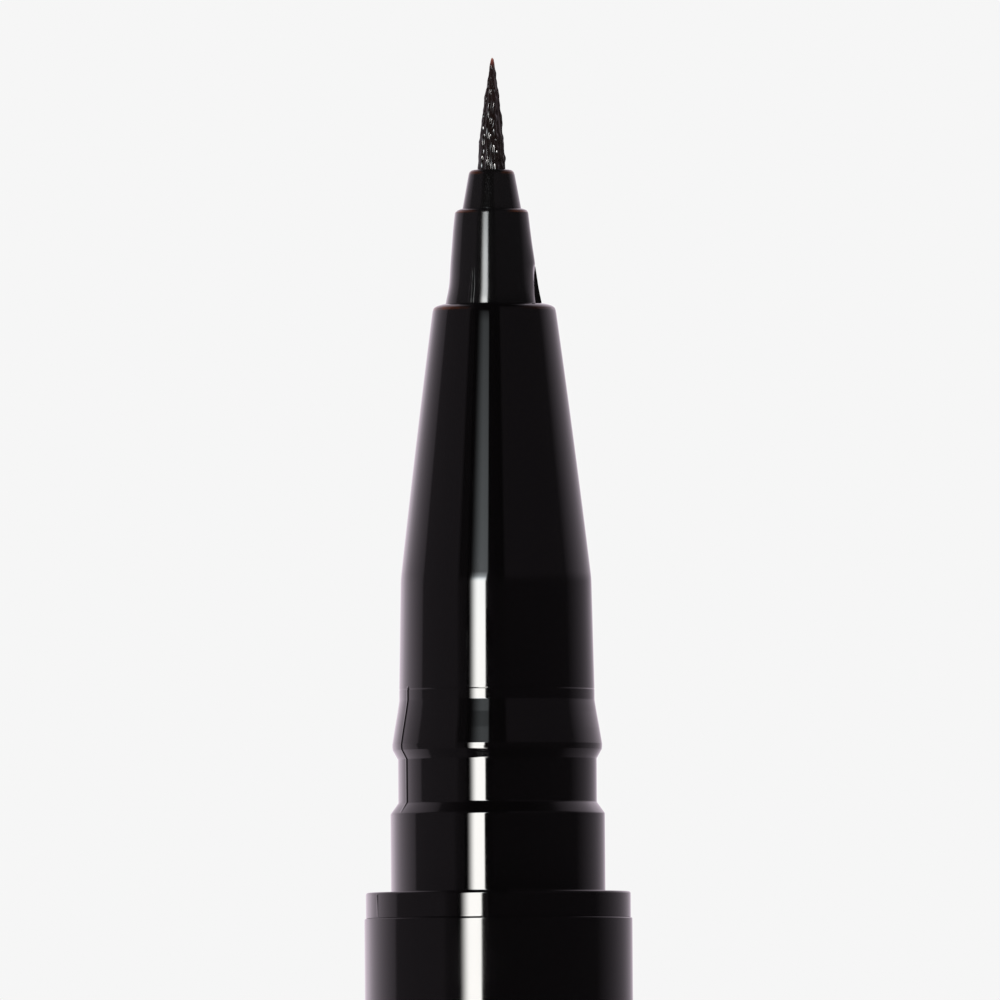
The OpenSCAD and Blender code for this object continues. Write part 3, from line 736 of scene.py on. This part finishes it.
# Radius of the wet surface at an azimuth and a height above the lip. The ink beads between the ridges
def wetRadius(angle, level):
    width = np.interp(level, outlineLevels, outlineWidths)
    taper = np.clip(width / brush["fullWidth"], brush["leastShare"], 1) ** brush["widthPower"]
    beaded = np.clip(brush["beadStart"] + level, 0, 1)
    rise = 0
    for ridge in ridges:
        at = ridge["azimuth"] + ridge["sway"] * np.sin(ridge["swayPitch"] * level + ridge["phase"])
        broad = ridge["width"] * (1 + brush["ridgeWidening"] * level)
        off = angleFrom(angle, at)
        beside = angleFrom(angle - at, 0.5 * fullTurn / brush["ridges"])
        bead = sum(size * np.sin(pitch * level + phase) for size, pitch, phase in ridge["beads"]) * beaded
        fade = np.clip((ridge["end"] - level) / brush["ridgeFade"], 0, 1)
        crest = brush["ridgeHeight"] * np.exp(-(off / broad) ** 2)
        rise = rise + fade * (crest + bead * np.exp(-(beside / broad) ** 2))
    sunk = np.clip((brush["sunkTo"] - level) / brush["sunkFade"], 0, 1)
    return width * brush["bodyShare"] + taper * (rise - brush["sunkShare"] * brush["ridgeHeight"] * sunk)


def leanAt(level):
    return brush["lean"] * np.clip((level - brush["leanFrom"]) / brush["leanOver"], 0, 1)


columns = brush["filmColumns"]
levels = np.linspace(brush["filmFoot"], brush["length"] - brush["filmShort"], brush["filmRings"])
angles = np.linspace(0, fullTurn, columns, endpoint=False)
radii = wetRadius(angles[None, :], levels[:, None])
verts, faces = [], []
for level, ring in zip(levels, radii):
    height = (barrelTop + brush["lip"] + level) * mm
    across = (ring * np.sin(angles) + leanAt(level)) * mm
    verts.extend(zip(across.tolist(), (-ring * np.cos(angles) * mm).tolist(), [height] * columns))
for i in range(len(levels) - 1):
    for j in range(columns):
        k = (j + 1) % columns
        faces.append((i * columns + j, i * columns + k, (i + 1) * columns + k, (i + 1) * columns + j))
faces.append(tuple(reversed(range(columns))))
faces.append(tuple((len(levels) - 1) * columns + j for j in range(columns)))
filmPiece = meshPiece("inkFilm", verts, faces, wetFibre)
dress(setAside(filmPiece), "pen", "wet_fibre", "bristle_bundle")


# A bristle from its distance and azimuth about the axis at each level, and its thickness there
def addBristle(rho, turn, level, thick):
    line = zip(rho * np.sin(turn) + leanAt(level), -rho * np.cos(turn), barrelTop + brush["lip"] + level)
    tubeMesh(verts, faces, [Vector(point) * mm for point in line], (thick * mm).tolist(), bristle["sides"])


verts, faces = [], []
golden = math.radians(137.508)   # spreads the bristles evenly, like a sunflower's seeds
for i in range(bristle["count"]):
    place = math.sqrt((i + 0.5) / bristle["count"])
    azimuth = golden * i + draw.uniform(*bristle["uneven"])
    reach = brush["length"] * (1 - bristle["shorter"] * place ** bristle["shorterPower"])
    end = max(reach + draw.uniform(*bristle["endUneven"]), bristle["shortest"])
    sway = draw.uniform(*bristle["sway"])
    phase = draw.uniform(0, fullTurn)
    lift = draw.uniform(*bristle["lift"])
    level = np.linspace(bristle["foot"], end, bristle["rings"])
    s = np.clip(level, 0, None) / end
    turn = azimuth + sway * np.sin(bristle["swayPitch"] * level + phase)
    thick = bristle["radius"] * (1 - bristle["thinning"] * s ** bristle["thinningPower"])
    filmLevel = np.maximum(level, bristle["lowest"])
    surface = np.minimum(*(wetRadius(turn + side, filmLevel) for side in bristle["beside"]))
    rho = place * np.maximum(surface - thick, bristle["innermost"])
    rho = rho + (lift + bristle["proud"] * thick) * s ** bristle["liftPower"] * place
    addBristle(rho, turn, level, thick)

# The few bristles that reach the very tip, in three rows
tipBristle = {"count": 9, "rows": 3, "from": 3.6, "stagger": 0.03, "rings": 8, "start": 0.012,
              "startStep": 0.006, "endStep": 0.003, "thickness": 0.010, "taper": 0.010}
for i in range(tipBristle["count"]):
    row = i % tipBristle["rows"]
    level = np.linspace(tipBristle["from"], brush["length"] - tipBristle["stagger"] * i, tipBristle["rings"])
    down = np.linspace(1, 0, tipBristle["rings"])
    rho = (tipBristle["start"] + tipBristle["startStep"] * row) * down + tipBristle["endStep"] * row
    addBristle(rho, golden * i, level, tipBristle["thickness"] + tipBristle["taper"] * down)
rootRadius, rootLow, rootTop = brush["rootRadius"], brush["root"], brush["lip"] - brush["rootBelowLip"]
rootCorners = [(0, rootLow, 0), (rootRadius, rootLow, 0.05), (rootRadius, rootTop, 0.03), (0, rootTop, 0)]
dress(setAside(turned("brushRoot", rootCorners, wetFibre, barrelTop, columns=96)), "pen", "wet_fibre")
strandPiece = meshPiece("bristles", verts, faces, wetFibre)
dress(setAside(strandPiece), "pen", "wet_fibre", "bristle_bundle")
print("brush made:", bristle["count"], "bristles")

# Barrel
barrel = {
    "corners": [(4.45, -88.0, 0.03), (5.25, -88.0, 0.05), (5.25, 0.0, 0.055), (4.45, 0.0, 0.03)],
    "columns": 320,
}
barrelPiece = turned("barrelTube", barrel["corners"], barrelBlack, barrelTop, barrel["columns"])
dress(barrelPiece, "pen", "gloss_black", "barrel")

# Tail plug with the spigot that the cap is posted on
tail = {
    "corners": [(0, -96.85, 0), (4.0, -96.85, 0.5), (4.0, -88.85, 0.08), (5.19, -88.85, 0.05),
                (5.19, -88.05, 0.03), (4.43, -88.05, 0.03), (4.43, -80.0, 0.06), (3.0, -80.0, 0.05),
                (3.0, -95.65, 0.3), (0, -95.65, 0)],
    "columns": 256,
}
tailPiece = turned("tailPlug", tail["corners"], glossBlack, barrelTop, tail["columns"])
dress(tailPiece, "pen", "gloss_black", "tail_plug")

# Cap, standing on its crown. From here on heights count up from the floor
cap = {
    "crown": [(0, 0.10, 0), (0.35, 0.10, 0.06), (0.45, 0.16, 0.05), (0.9, 0.16, 0.1), (1.15, 0.0, 0.25),
              (5.25, 0.0, 0.7)],
    "rim": [(5.25, 38.02, 0.12), (4.75, 38.02, 0.04), (4.75, 1.60, 0.1), (0, 1.60, 0)],
    "columns": 320,
}
capPiece = turned("capTube", cap["crown"] + cap["rim"], capBlack, columns=cap["columns"])
dress(capPiece, "cap", "gloss_black", "cap_shell")

# Liner inside the cap, with the snap rib and the web that keeps the inner cap in
liner = {
    "corners": [(3.35, 1.65, 0.04), (4.73, 1.65, 0.04), (4.73, 37.87, 0.04), (4.50, 37.87, 0.03),
                (4.25, 37.62, 0.1), (4.25, 34.04, 0.1), (4.05, 33.84, 0.12), (4.05, 33.44, 0.12),
                (4.25, 33.24, 0.1), (4.25, 15.16, 0.04),
                (2.65, 15.16, 0.04), (2.65, 14.16, 0.04), (3.35, 14.16, 0.04)],
    "columns": 256,
}
linerPiece = turned("linerSleeve", liner["corners"], linerBlack, columns=liner["columns"])
dress(linerPiece, "cap", "satin_black", "cap_liner")
print("barrel, tail and cap made")

# Inside the cap: the sliding cup that seals the mouth, and its spring
innerCup = {
    "corners": [(0, 3.70, 0), (2.35, 3.70, 0.05), (2.60, 3.95, 0.08), (2.60, 13.31, 0.03),
                (3.20, 13.31, 0.03), (3.20, 14.11, 0.03), (2.60, 14.11, 0.03), (2.60, 16.16, 0.12),
                (2.05, 16.16, 0.12),
                (2.05, 4.50, 0.3), (0, 4.50, 0)],
    "columns": 160,
}
cupPiece = turned("innerCup", innerCup["corners"], naturalResin, columns=innerCup["columns"])
dress(cupPiece, "inner_cap", "natural_resin", "inner_cap")

spring = {"wire": 0.17, "radius": 2.975, "foot": 1.65, "top": 13.26, "turns": 7, "ringsPerTurn": 40,
          "sides": 12}
verts, faces, points = [], [], []
rings = spring["turns"] * spring["ringsPerTurn"]
coilHeight = spring["top"] - spring["foot"] - 2 * spring["wire"]
for i in range(rings + 1):
    a = fullTurn * i / spring["ringsPerTurn"]
    level = spring["foot"] + spring["wire"] + coilHeight * i / rings
    points.append(Vector((spring["radius"] * math.cos(a), spring["radius"] * math.sin(a), level)) * mm)
tubeMesh(verts, faces, points, [spring["wire"] * mm] * len(points), spring["sides"])
springPiece = dress(meshPiece("springCoil", verts, faces, springSteel), "cap", "steel", "inner_cap_spring")
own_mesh(springPiece)

# Ink feed: fibre rod, collector's seal ring, tank, stopper and the ball that stirs the ink
feed = {
    "rodRadius": 0.75, "rodEdge": 0.06, "rodColumns": 96,
    "sealWire": 0.45, "sealSteps": 40,
    "tankBore": 3.83, "tankRadius": 4.43, "tankEdge": 0.04,
    "plugCap": 1, "plugNeck": 3.81, "plugLead": 0.25, "plugEdge": 0.05,
    "ballGap": 0.001, "ballSteps": 48, "ballColumns": 96,
    "columns": 160,
}
rodLow, rodHigh = (corner.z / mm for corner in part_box("relay_core"))
rodLine = [(0, rodLow, 0), (feed["rodRadius"], rodLow, feed["rodEdge"]),
           (feed["rodRadius"], rodHigh, feed["rodEdge"]), (0, rodHigh, 0)]
rodPiece = turned("feedRod", rodLine, inkedFibre, columns=feed["rodColumns"])
dress(rodPiece, "pen", "fibre_rod", "relay_core")
ringLow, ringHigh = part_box("collector_seal")
wire = feed["sealWire"]
ringRadius = ringHigh.x / mm - wire
ringLevel = (ringLow.z + ringHigh.z) / 2 / mm
ringLine = []
for i in range(feed["sealSteps"]):
    a = fullTurn * i / feed["sealSteps"]
    ringLine.append((ringRadius + wire * math.cos(a), ringLevel + wire * math.sin(a), 0))
ringPiece = turned("sealRing", ringLine, sealRubber, columns=feed["columns"])
dress(ringPiece, "pen", "seal_rubber", "collector_seal")
tankLow, tankHigh = (corner.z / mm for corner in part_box("ink_tank"))
tankLine = [(radius, level, feed["tankEdge"])
            for radius, level in ((feed["tankBore"], tankLow), (feed["tankRadius"], tankLow),
                                  (feed["tankRadius"], tankHigh), (feed["tankBore"], tankHigh))]
tankPiece = turned("tankTube", tankLine, tankResin, columns=feed["columns"])
dress(tankPiece, "pen", "clear_resin", "ink_tank")
plugLow, plugHigh = (corner.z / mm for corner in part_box("tank_stopper"))
plugShelf = plugLow + feed["plugCap"]
plugLine = [(0, plugLow, 0), (feed["tankRadius"], plugLow, 0.06), (feed["tankRadius"], plugShelf, 0.03),
            (feed["plugNeck"], plugShelf, 0.03),
            (feed["plugNeck"], plugHigh - feed["plugLead"], feed["plugEdge"]),
            (feed["plugNeck"] - feed["plugLead"], plugHigh, feed["plugEdge"]), (0, plugHigh, 0)]
plugPiece = turned("tankPlug", plugLine, naturalResin, columns=feed["columns"])
dress(plugPiece, "pen", "natural_resin", "tank_stopper")
ballLow, ballHigh = (corner.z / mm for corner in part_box("mixing_ball"))
ballMid, ballRadius = (ballLow + ballHigh) / 2, (ballHigh - ballLow) / 2 - feed["ballGap"]
ballLine = []
for i in range(feed["ballSteps"] + 1):
    a = math.pi * i / feed["ballSteps"]
    radius = 0 if i in (0, feed["ballSteps"]) else ballRadius * math.sin(a)
    ballLine.append((radius, ballMid - ballRadius * math.cos(a), 0))
ballPiece = turned("stirringBall", ballLine, ballSteel, columns=feed["ballColumns"])
dress(ballPiece, "mixing_ball", "steel", "mixing_ball")
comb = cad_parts["collector"]
comb.data.materials.clear()
comb.data.materials.append(naturalResin)
print("inside of the pen and cap made")


# Camera at the photograph's angle, below the writing end and looking slightly up
view = {"distance": 1.0, "pixelsPerMm": 25.52, "pixels": 1000, "elevation": -1.64, "aimHeight": 143.35,
        "aimAside": 0.175, "roll": 0.40, "sensor": 36, "nearest": 0.05, "furthest": 20}
camera = bpy.data.cameras.new("camera")
camera.sensor_width = view["sensor"]
camera.lens = view["sensor"] * view["distance"] / (view["pixels"] / view["pixelsPerMm"] * mm)
camera.clip_start, camera.clip_end = view["nearest"], view["furthest"]
cameraObject = bpy.data.objects.new("camera", camera)
bpy.context.scene.collection.objects.link(cameraObject)
tilt, roll = math.radians(view["elevation"]), math.radians(view["roll"])
back = Vector((0, -math.cos(tilt), math.sin(tilt)))
level = Vector((1, 0, 0))
upward = back.cross(level)
right = level * math.cos(roll) - upward * math.sin(roll)
up = upward * math.cos(roll) + level * math.sin(roll)
aim = Vector((view["aimAside"] * mm, 0, view["aimHeight"] * mm))
spot = aim + back * view["distance"]
cameraObject.matrix_world = Matrix(((right.x, up.x, back.x, spot.x), (right.y, up.y, back.y, spot.y),
                                    (right.z, up.z, back.z, spot.z), (0, 0, 0, 1)))
bpy.context.scene.camera = cameraObject

# Floor: pale and matt, running out into the backdrop's tone
floor = {"colour": (0.86, 0.86, 0.86), "fadeFrom": 0.22, "fadeTo": 0.6, "backdrop": 0.9216, "spokes": 96,
         "rings": [0.05, 0.1, 0.2, 0.4, 0.8, 1.6, 3.0]}
spokes = floor["spokes"]
verts = [(0, 0, 0)] + [(r * math.cos(fullTurn * k / spokes), r * math.sin(fullTurn * k / spokes), 0)
                       for r in floor["rings"] for k in range(spokes)]
faces = [(0, 1 + k, 1 + (k + 1) % spokes) for k in range(spokes)]
for i in range(len(floor["rings"]) - 1):
    for k in range(spokes):
        a, b = 1 + i * spokes + k, 1 + i * spokes + (k + 1) % spokes
        faces.append((a, a + spokes, b + spokes, b))
floorFinish, tree, shader = startFinish("floorPale")
shader.inputs["Base Color"].default_value = (*floor["colour"], 1)
shader.inputs["Roughness"].default_value = 1.0
shader.inputs["Specular IOR Level"].default_value = 0.0
glow = tree.nodes.new("ShaderNodeEmission")
glow.inputs["Color"].default_value = (floor["backdrop"],) * 3 + (1,)
away = tree.nodes.new("ShaderNodeVectorMath")
away.operation = "LENGTH"
tree.links.new(objectPlace(tree), away.inputs[0])
seen = tree.nodes.new("ShaderNodeLightPath")
fade = spread(tree, away.outputs["Value"], 0, 1, floor["fadeFrom"], floor["fadeTo"])
mix = tree.nodes.new("ShaderNodeMixShader")
tree.links.new(product(tree, fade, seen.outputs["Is Camera Ray"]), mix.inputs["Fac"])
tree.links.new(shader.outputs[0], mix.inputs[1])
tree.links.new(glow.outputs[0], mix.inputs[2])
tree.links.new(mix.outputs[0], tree.nodes["Material Output"].inputs["Surface"])
floorPiece = meshPiece("floor", verts, faces, floorFinish)
floorPiece.visible_glossy = False

# Strip softbox, front left, leaning a little to the right. It only shows in the gloss: soft on its left edge,
# sharp on its right, fading out above. Pairs start with a height, and an edge's second value is how far it
# stands from the strip's middle there
strip = {
    "azimuth": -21, "distance": 0.25, "low": -0.22, "high": 0.30, "halfWidth": 0.066, "strength": 24.5,
    "leftEdge": [(0.12, -0.036), (0.21, -0.014)],
    "leftSoft": [(0.12, 0.020), (0.21, 0.034)],
    "rightEdge": [(0.12, 0.030), (0.21, 0.0525)],
    "rightSoft": 0.006,
    "heights": [(0.157, 1.0), (0.167, 0.88), (0.180, 0.28), (0.204, 0.088), (0.247, 0.0)],
    "tints": [(0.15, (1.0, 0.985, 0.955)), (0.175, (0.90, 0.97, 1.0))],
    "fadeFrom": 0.14, "fadeTo": 0.30,
}
facing = math.radians(strip["azimuth"])
stripMesh = bpy.data.meshes.new("stripLight")
half = strip["halfWidth"]
stripMesh.from_pydata([(-half, 0, strip["low"]), (half, 0, strip["low"]), (half, 0, strip["high"]),
                       (-half, 0, strip["high"])], [], [(3, 2, 1, 0)])
stripPiece = bpy.data.objects.new("stripLight", stripMesh)
bpy.context.scene.collection.objects.link(stripPiece)
stripPiece.location = (strip["distance"] * math.sin(facing), -strip["distance"] * math.cos(facing), 0)
stripPiece.rotation_euler = (0, 0, facing)
glowFinish = bpy.data.materials.new("stripGlow")
glowFinish.use_nodes = True
tree = glowFinish.node_tree
tree.nodes.remove(tree.nodes["Principled BSDF"])
place = axesOf(tree, objectPlace(tree))


# What a pair of (height, value) gives at each height, on a straight line between the two
def between(pair):
    (low, lowValue), (high, highValue) = pair
    return spread(tree, place["Z"], lowValue, highValue, low, high)


def fromEdge(edge):
    return combined(tree, place["X"], between(edge), "SUBTRACT")


leftSide = tree.nodes.new("ShaderNodeMapRange")
leftSide.interpolation_type = "SMOOTHSTEP"
leftSide.inputs["From Min"].default_value = -1
tree.links.new(combined(tree, fromEdge(strip["leftEdge"]), between(strip["leftSoft"]), "DIVIDE"),
          leftSide.inputs["Value"])
rightSide = spread(tree, fromEdge(strip["rightEdge"]), 1, 0, -strip["rightSoft"], 0)
tall = curveOf(tree, place["Z"], strip["heights"], strip["fadeFrom"], strip["fadeTo"])
amount = product(tree, leftSide.outputs["Result"], rightSide, tall, strip["strength"])
glow = tree.nodes.new("ShaderNodeEmission")
tint = curveOf(tree, place["Z"], strip["tints"], strip["fadeFrom"], strip["fadeTo"])
tree.links.new(tint, glow.inputs["Color"])
tree.links.new(amount, glow.inputs["Strength"])
tree.links.new(glow.outputs[0], tree.nodes["Material Output"].inputs["Surface"])
stripMesh.materials.append(glowFinish)
stripPiece.visible_camera = stripPiece.visible_diffuse = stripPiece.visible_shadow = False
stripPiece.visible_transmission = False

# Soft lamp overhead, which throws the shadow on the floor
overhead = {"size": 0.7, "energy": 5.0, "place": (-0.25, -0.45, 1.15), "aim": (0, 0, 0.05)}
lamp = bpy.data.lights.new("overhead", "AREA")
lamp.shape = "DISK"
lamp.size = overhead["size"]
lamp.energy = overhead["energy"]
lampObject = bpy.data.objects.new("overhead", lamp)
bpy.context.scene.collection.objects.link(lampObject)
lampObject.location = overhead["place"]
lampWay = Vector(overhead["aim"]) - lampObject.location
lampObject.rotation_euler = lampWay.to_track_quat("-Z", "Y").to_euler()
lampObject.visible_glossy = False

# Surroundings: plain pale to the eye and for soft light, and the studio round the pen for the gloss
surroundings = {
    "backdrop": 0.9216, "softLight": 0.78, "strength": 1.8,
    "tint": (1.0, 0.87, 0.99),
    # Light by azimuth: the white backdrop behind, a grey panel on the left and the dark studio in front
    "ring": [(-180, 1.0), (-150, 1.5), (-101, 0.46), (-99, 0.17), (-49, 0.16), (-45, 0.09), (-30, 0.02),
             (94, 0.045), (134, 0.43), (180, 1.0)],
    # The same for what is reflected from higher up, where the right side has a grey panel too
    "ringAbove": [(-180, 0.9), (-150, 1.15), (-101, 0.43), (-99, 0.17), (-49, 0.16), (-45, 0.03), (9, 0.004),
                  (12, 0.09), (94, 0.08), (150, 1.2), (180, 0.9)],
    "aboveFrom": (0.05, 0.19),
    # Share of it by how far up or down the light comes from
    "heights": [(-1, 0.55), (-0.45, 1.0), (0.35, 1.0), (0.75, 0.65), (0.92, 0.0)],
}
world = bpy.data.worlds.new("studio")
bpy.context.scene.world = world
world.use_nodes = True
tree = world.node_tree
tree.nodes.clear()
place = axesOf(tree, tree.nodes.new("ShaderNodeTexCoord").outputs["Generated"])
ahead = product(tree, place["Y"], -1)
azimuth = product(tree, combined(tree, place["X"], ahead, "ARCTAN2"), 180 / math.pi)
rounds = []
for key in ("ring", "ringAbove"):
    stops = [(at, light / surroundings["strength"]) for at, light in surroundings[key]]
    rounds.append(curveOf(tree, azimuth, stops, -180, 180))
rise, blend = tree.nodes.new("ShaderNodeMix"), tree.nodes.new("ShaderNodeMix")
rise.data_type = blend.data_type = "RGBA"
tree.links.new(spread(tree, place["Z"], 0, 1, *surroundings["aboveFrom"]), rise.inputs["Factor"])
tree.links.new(rounds[0], rise.inputs["A"])
tree.links.new(rounds[1], rise.inputs["B"])
blend.blend_type = "MULTIPLY"
blend.inputs["Factor"].default_value = 1
tree.links.new(rise.outputs["Result"], blend.inputs["A"])
tinted = [(at, tuple(share * part for part in surroundings["tint"])) for at, share in surroundings["heights"]]
tree.links.new(curveOf(tree, place["Z"], tinted, -1, 1), blend.inputs["B"])
gloss, soft, seenBy = (tree.nodes.new("ShaderNodeBackground") for _ in range(3))
tree.links.new(blend.outputs["Result"], gloss.inputs["Color"])
gloss.inputs["Strength"].default_value = surroundings["strength"]
soft.inputs["Color"].default_value = (surroundings["softLight"],) * 3 + (1,)
seenBy.inputs["Color"].default_value = (surroundings["backdrop"],) * 3 + (1,)
path = tree.nodes.new("ShaderNodeLightPath")
glossOrSoft, final = tree.nodes.new("ShaderNodeMixShader"), tree.nodes.new("ShaderNodeMixShader")
tree.links.new(path.outputs["Is Glossy Ray"], glossOrSoft.inputs["Fac"])
tree.links.new(soft.outputs[0], glossOrSoft.inputs[1])
tree.links.new(gloss.outputs[0], glossOrSoft.inputs[2])
plainSeen = combined(tree, path.outputs["Is Camera Ray"], path.outputs["Is Transmission Ray"], "MAXIMUM")
tree.links.new(plainSeen, final.inputs["Fac"])
tree.links.new(glossOrSoft.outputs[0], final.inputs[1])
tree.links.new(seenBy.outputs[0], final.inputs[2])
output = tree.nodes.new("ShaderNodeOutputWorld")
tree.links.new(final.outputs[0], output.inputs["Surface"])
bpy.context.scene.view_settings.view_transform = "Standard"
print("camera, floor and lights made")
